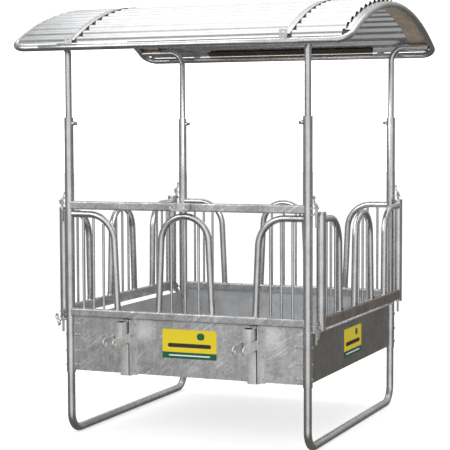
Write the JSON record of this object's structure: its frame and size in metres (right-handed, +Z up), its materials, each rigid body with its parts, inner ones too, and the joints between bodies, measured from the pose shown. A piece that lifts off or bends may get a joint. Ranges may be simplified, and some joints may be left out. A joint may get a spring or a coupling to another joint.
{
  "type": "round bale feeder",
  "caption": "Square galvanised round bale feeder with arched feed barriers, hinged side gates, skid legs, tractor brackets and a height-adjustable corrugated roof.",
  "frame": {"origin": "on the ground, under the centre of the whole part's box", "axes": "+Z up, +X to the right seen from the front, +Y to the rear; the front with the tractor brackets faces -Y"},
  "size_m": [2.3382, 2.2102, 2.8572],
  "materials": {
    "tube": "hot-dip galvanised, satin",
    "sheet": "galvanised sheet with a fine spangle",
    "roof_sheet": "bright corrugated galvanised sheet",
    "cast": "hot-dip galvanised plate",
    "pin": "zinc-plated steel"
  },
  "bodies": {
    "frame_and_trough": {"post_front_left": "tube", "post_rear_left": "tube", "post_front_right": "tube", "post_rear_right": "tube", "trough_front_sheet": "sheet", "trough_rear_sheet": "sheet", "trough_left_sheet": "sheet", "trough_right_sheet": "sheet", "trough_floor": "sheet", "front_bottom_rail": "tube", "rear_bottom_rail": "tube", "front_top_rail": "tube", "front_arch_middle": "tube", "front_arch_left": "tube", "front_arch_right": "tube", "rear_arch_middle": "tube", "rear_arch_left": "tube", "rear_arch_right": "tube", "left_gate_hinge_pin_bottom": "pin", "left_gate_hinge_pin_top": "pin", "right_gate_hinge_pin_bottom": "pin", "right_gate_hinge_pin_top": "pin", "lower_link_bracket_left": "cast", "lower_link_bracket_right": "cast", "top_link_bracket": "cast"},
    "left_legs": {"leg_frame_left": "tube"},
    "right_legs": {"leg_frame_right": "tube"},
    "left_gate": {"left_gate_tube_front": "tube", "left_gate_arch_front": "tube", "left_gate_tube_rear": "tube", "left_gate_arch_rear": "tube", "left_gate_rail": "tube", "left_gate_arch_middle": "tube"},
    "right_gate": {"right_gate_tube_front": "tube", "right_gate_arch_front": "tube", "right_gate_tube_rear": "tube", "right_gate_arch_rear": "tube", "right_gate_rail": "tube", "right_gate_arch_middle": "tube"},
    "left_latch_pin_bottom": {"left_gate_latch_pin_bottom": "pin"},
    "left_latch_pin_top": {"left_gate_latch_pin_top": "pin"},
    "right_latch_pin_bottom": {"right_gate_latch_pin_bottom": "pin"},
    "right_latch_pin_top": {"right_gate_latch_pin_top": "pin"},
    "clamp_screw_front_left": {"roof_clamp_screw_front_left": "pin"},
    "clamp_screw_rear_left": {"roof_clamp_screw_rear_left": "pin"},
    "clamp_screw_front_right": {"roof_clamp_screw_front_right": "pin"},
    "clamp_screw_rear_right": {"roof_clamp_screw_rear_right": "pin"},
    "roof": {"roof_end_frame_left": "tube", "roof_end_frame_right": "tube", "eave_tube_front": "tube", "eave_tube_rear": "tube", "roof_sheet_front": "roof_sheet", "roof_sheet_rear": "roof_sheet", "roof_strap_left": "cast", "roof_strap_right": "cast", "roof_upright_front_left": "tube", "roof_upright_rear_left": "tube", "roof_upright_front_right": "tube", "roof_upright_rear_right": "tube"}
  },
  "joints": [
    {"name": "roof_height", "type": "slide", "parent": "frame_and_trough", "child": "roof", "axis": [0, 0, 1], "range_m": [-0.4, 0.15]},
    {"name": "left_leg_height", "type": "slide", "parent": "frame_and_trough", "child": "left_legs", "axis": [0, 0, -1], "range_m": [0, 0.1]},
    {"name": "right_leg_height", "type": "slide", "parent": "frame_and_trough", "child": "right_legs", "axis": [0, 0, -1], "range_m": [0, 0.1]},
    {"name": "left_gate_hinge", "type": "hinge", "parent": "frame_and_trough", "child": "left_gate", "pos_m": [-0.851, 0.9719, 0.8], "axis": [0, 0, -1], "range_deg": [0, 170]},
    {"name": "right_gate_hinge", "type": "hinge", "parent": "frame_and_trough", "child": "right_gate", "pos_m": [0.913, 0.9719, 0.8], "axis": [0, 0, 1], "range_deg": [0, 170]},
    {"name": "left_latch_pin_bottom_lift", "type": "slide", "parent": "frame_and_trough", "child": "left_latch_pin_bottom", "axis": [0, 0, 1], "range_m": [0, 0.14]},
    {"name": "left_latch_pin_top_lift", "type": "slide", "parent": "frame_and_trough", "child": "left_latch_pin_top", "axis": [0, 0, 1], "range_m": [0, 0.14]},
    {"name": "right_latch_pin_bottom_lift", "type": "slide", "parent": "frame_and_trough", "child": "right_latch_pin_bottom", "axis": [0, 0, 1], "range_m": [0, 0.14]},
    {"name": "right_latch_pin_top_lift", "type": "slide", "parent": "frame_and_trough", "child": "right_latch_pin_top", "axis": [0, 0, 1], "range_m": [0, 0.14]},
    {"name": "clamp_screw_front_left_turn", "type": "hinge", "parent": "frame_and_trough", "child": "clamp_screw_front_left", "pos_m": [-0.755, -0.8281, 2.046], "axis": [1, 0, 0], "continuous": true},
    {"name": "clamp_screw_rear_left_turn", "type": "hinge", "parent": "frame_and_trough", "child": "clamp_screw_rear_left", "pos_m": [-0.755, 0.9719, 2.046], "axis": [1, 0, 0], "continuous": true},
    {"name": "clamp_screw_front_right_turn", "type": "hinge", "parent": "frame_and_trough", "child": "clamp_screw_front_right", "pos_m": [0.817, -0.8281, 2.046], "axis": [1, 0, 0], "continuous": true},
    {"name": "clamp_screw_rear_right_turn", "type": "hinge", "parent": "frame_and_trough", "child": "clamp_screw_rear_right", "pos_m": [0.817, 0.9719, 2.046], "axis": [1, 0, 0], "continuous": true}
  ]
}
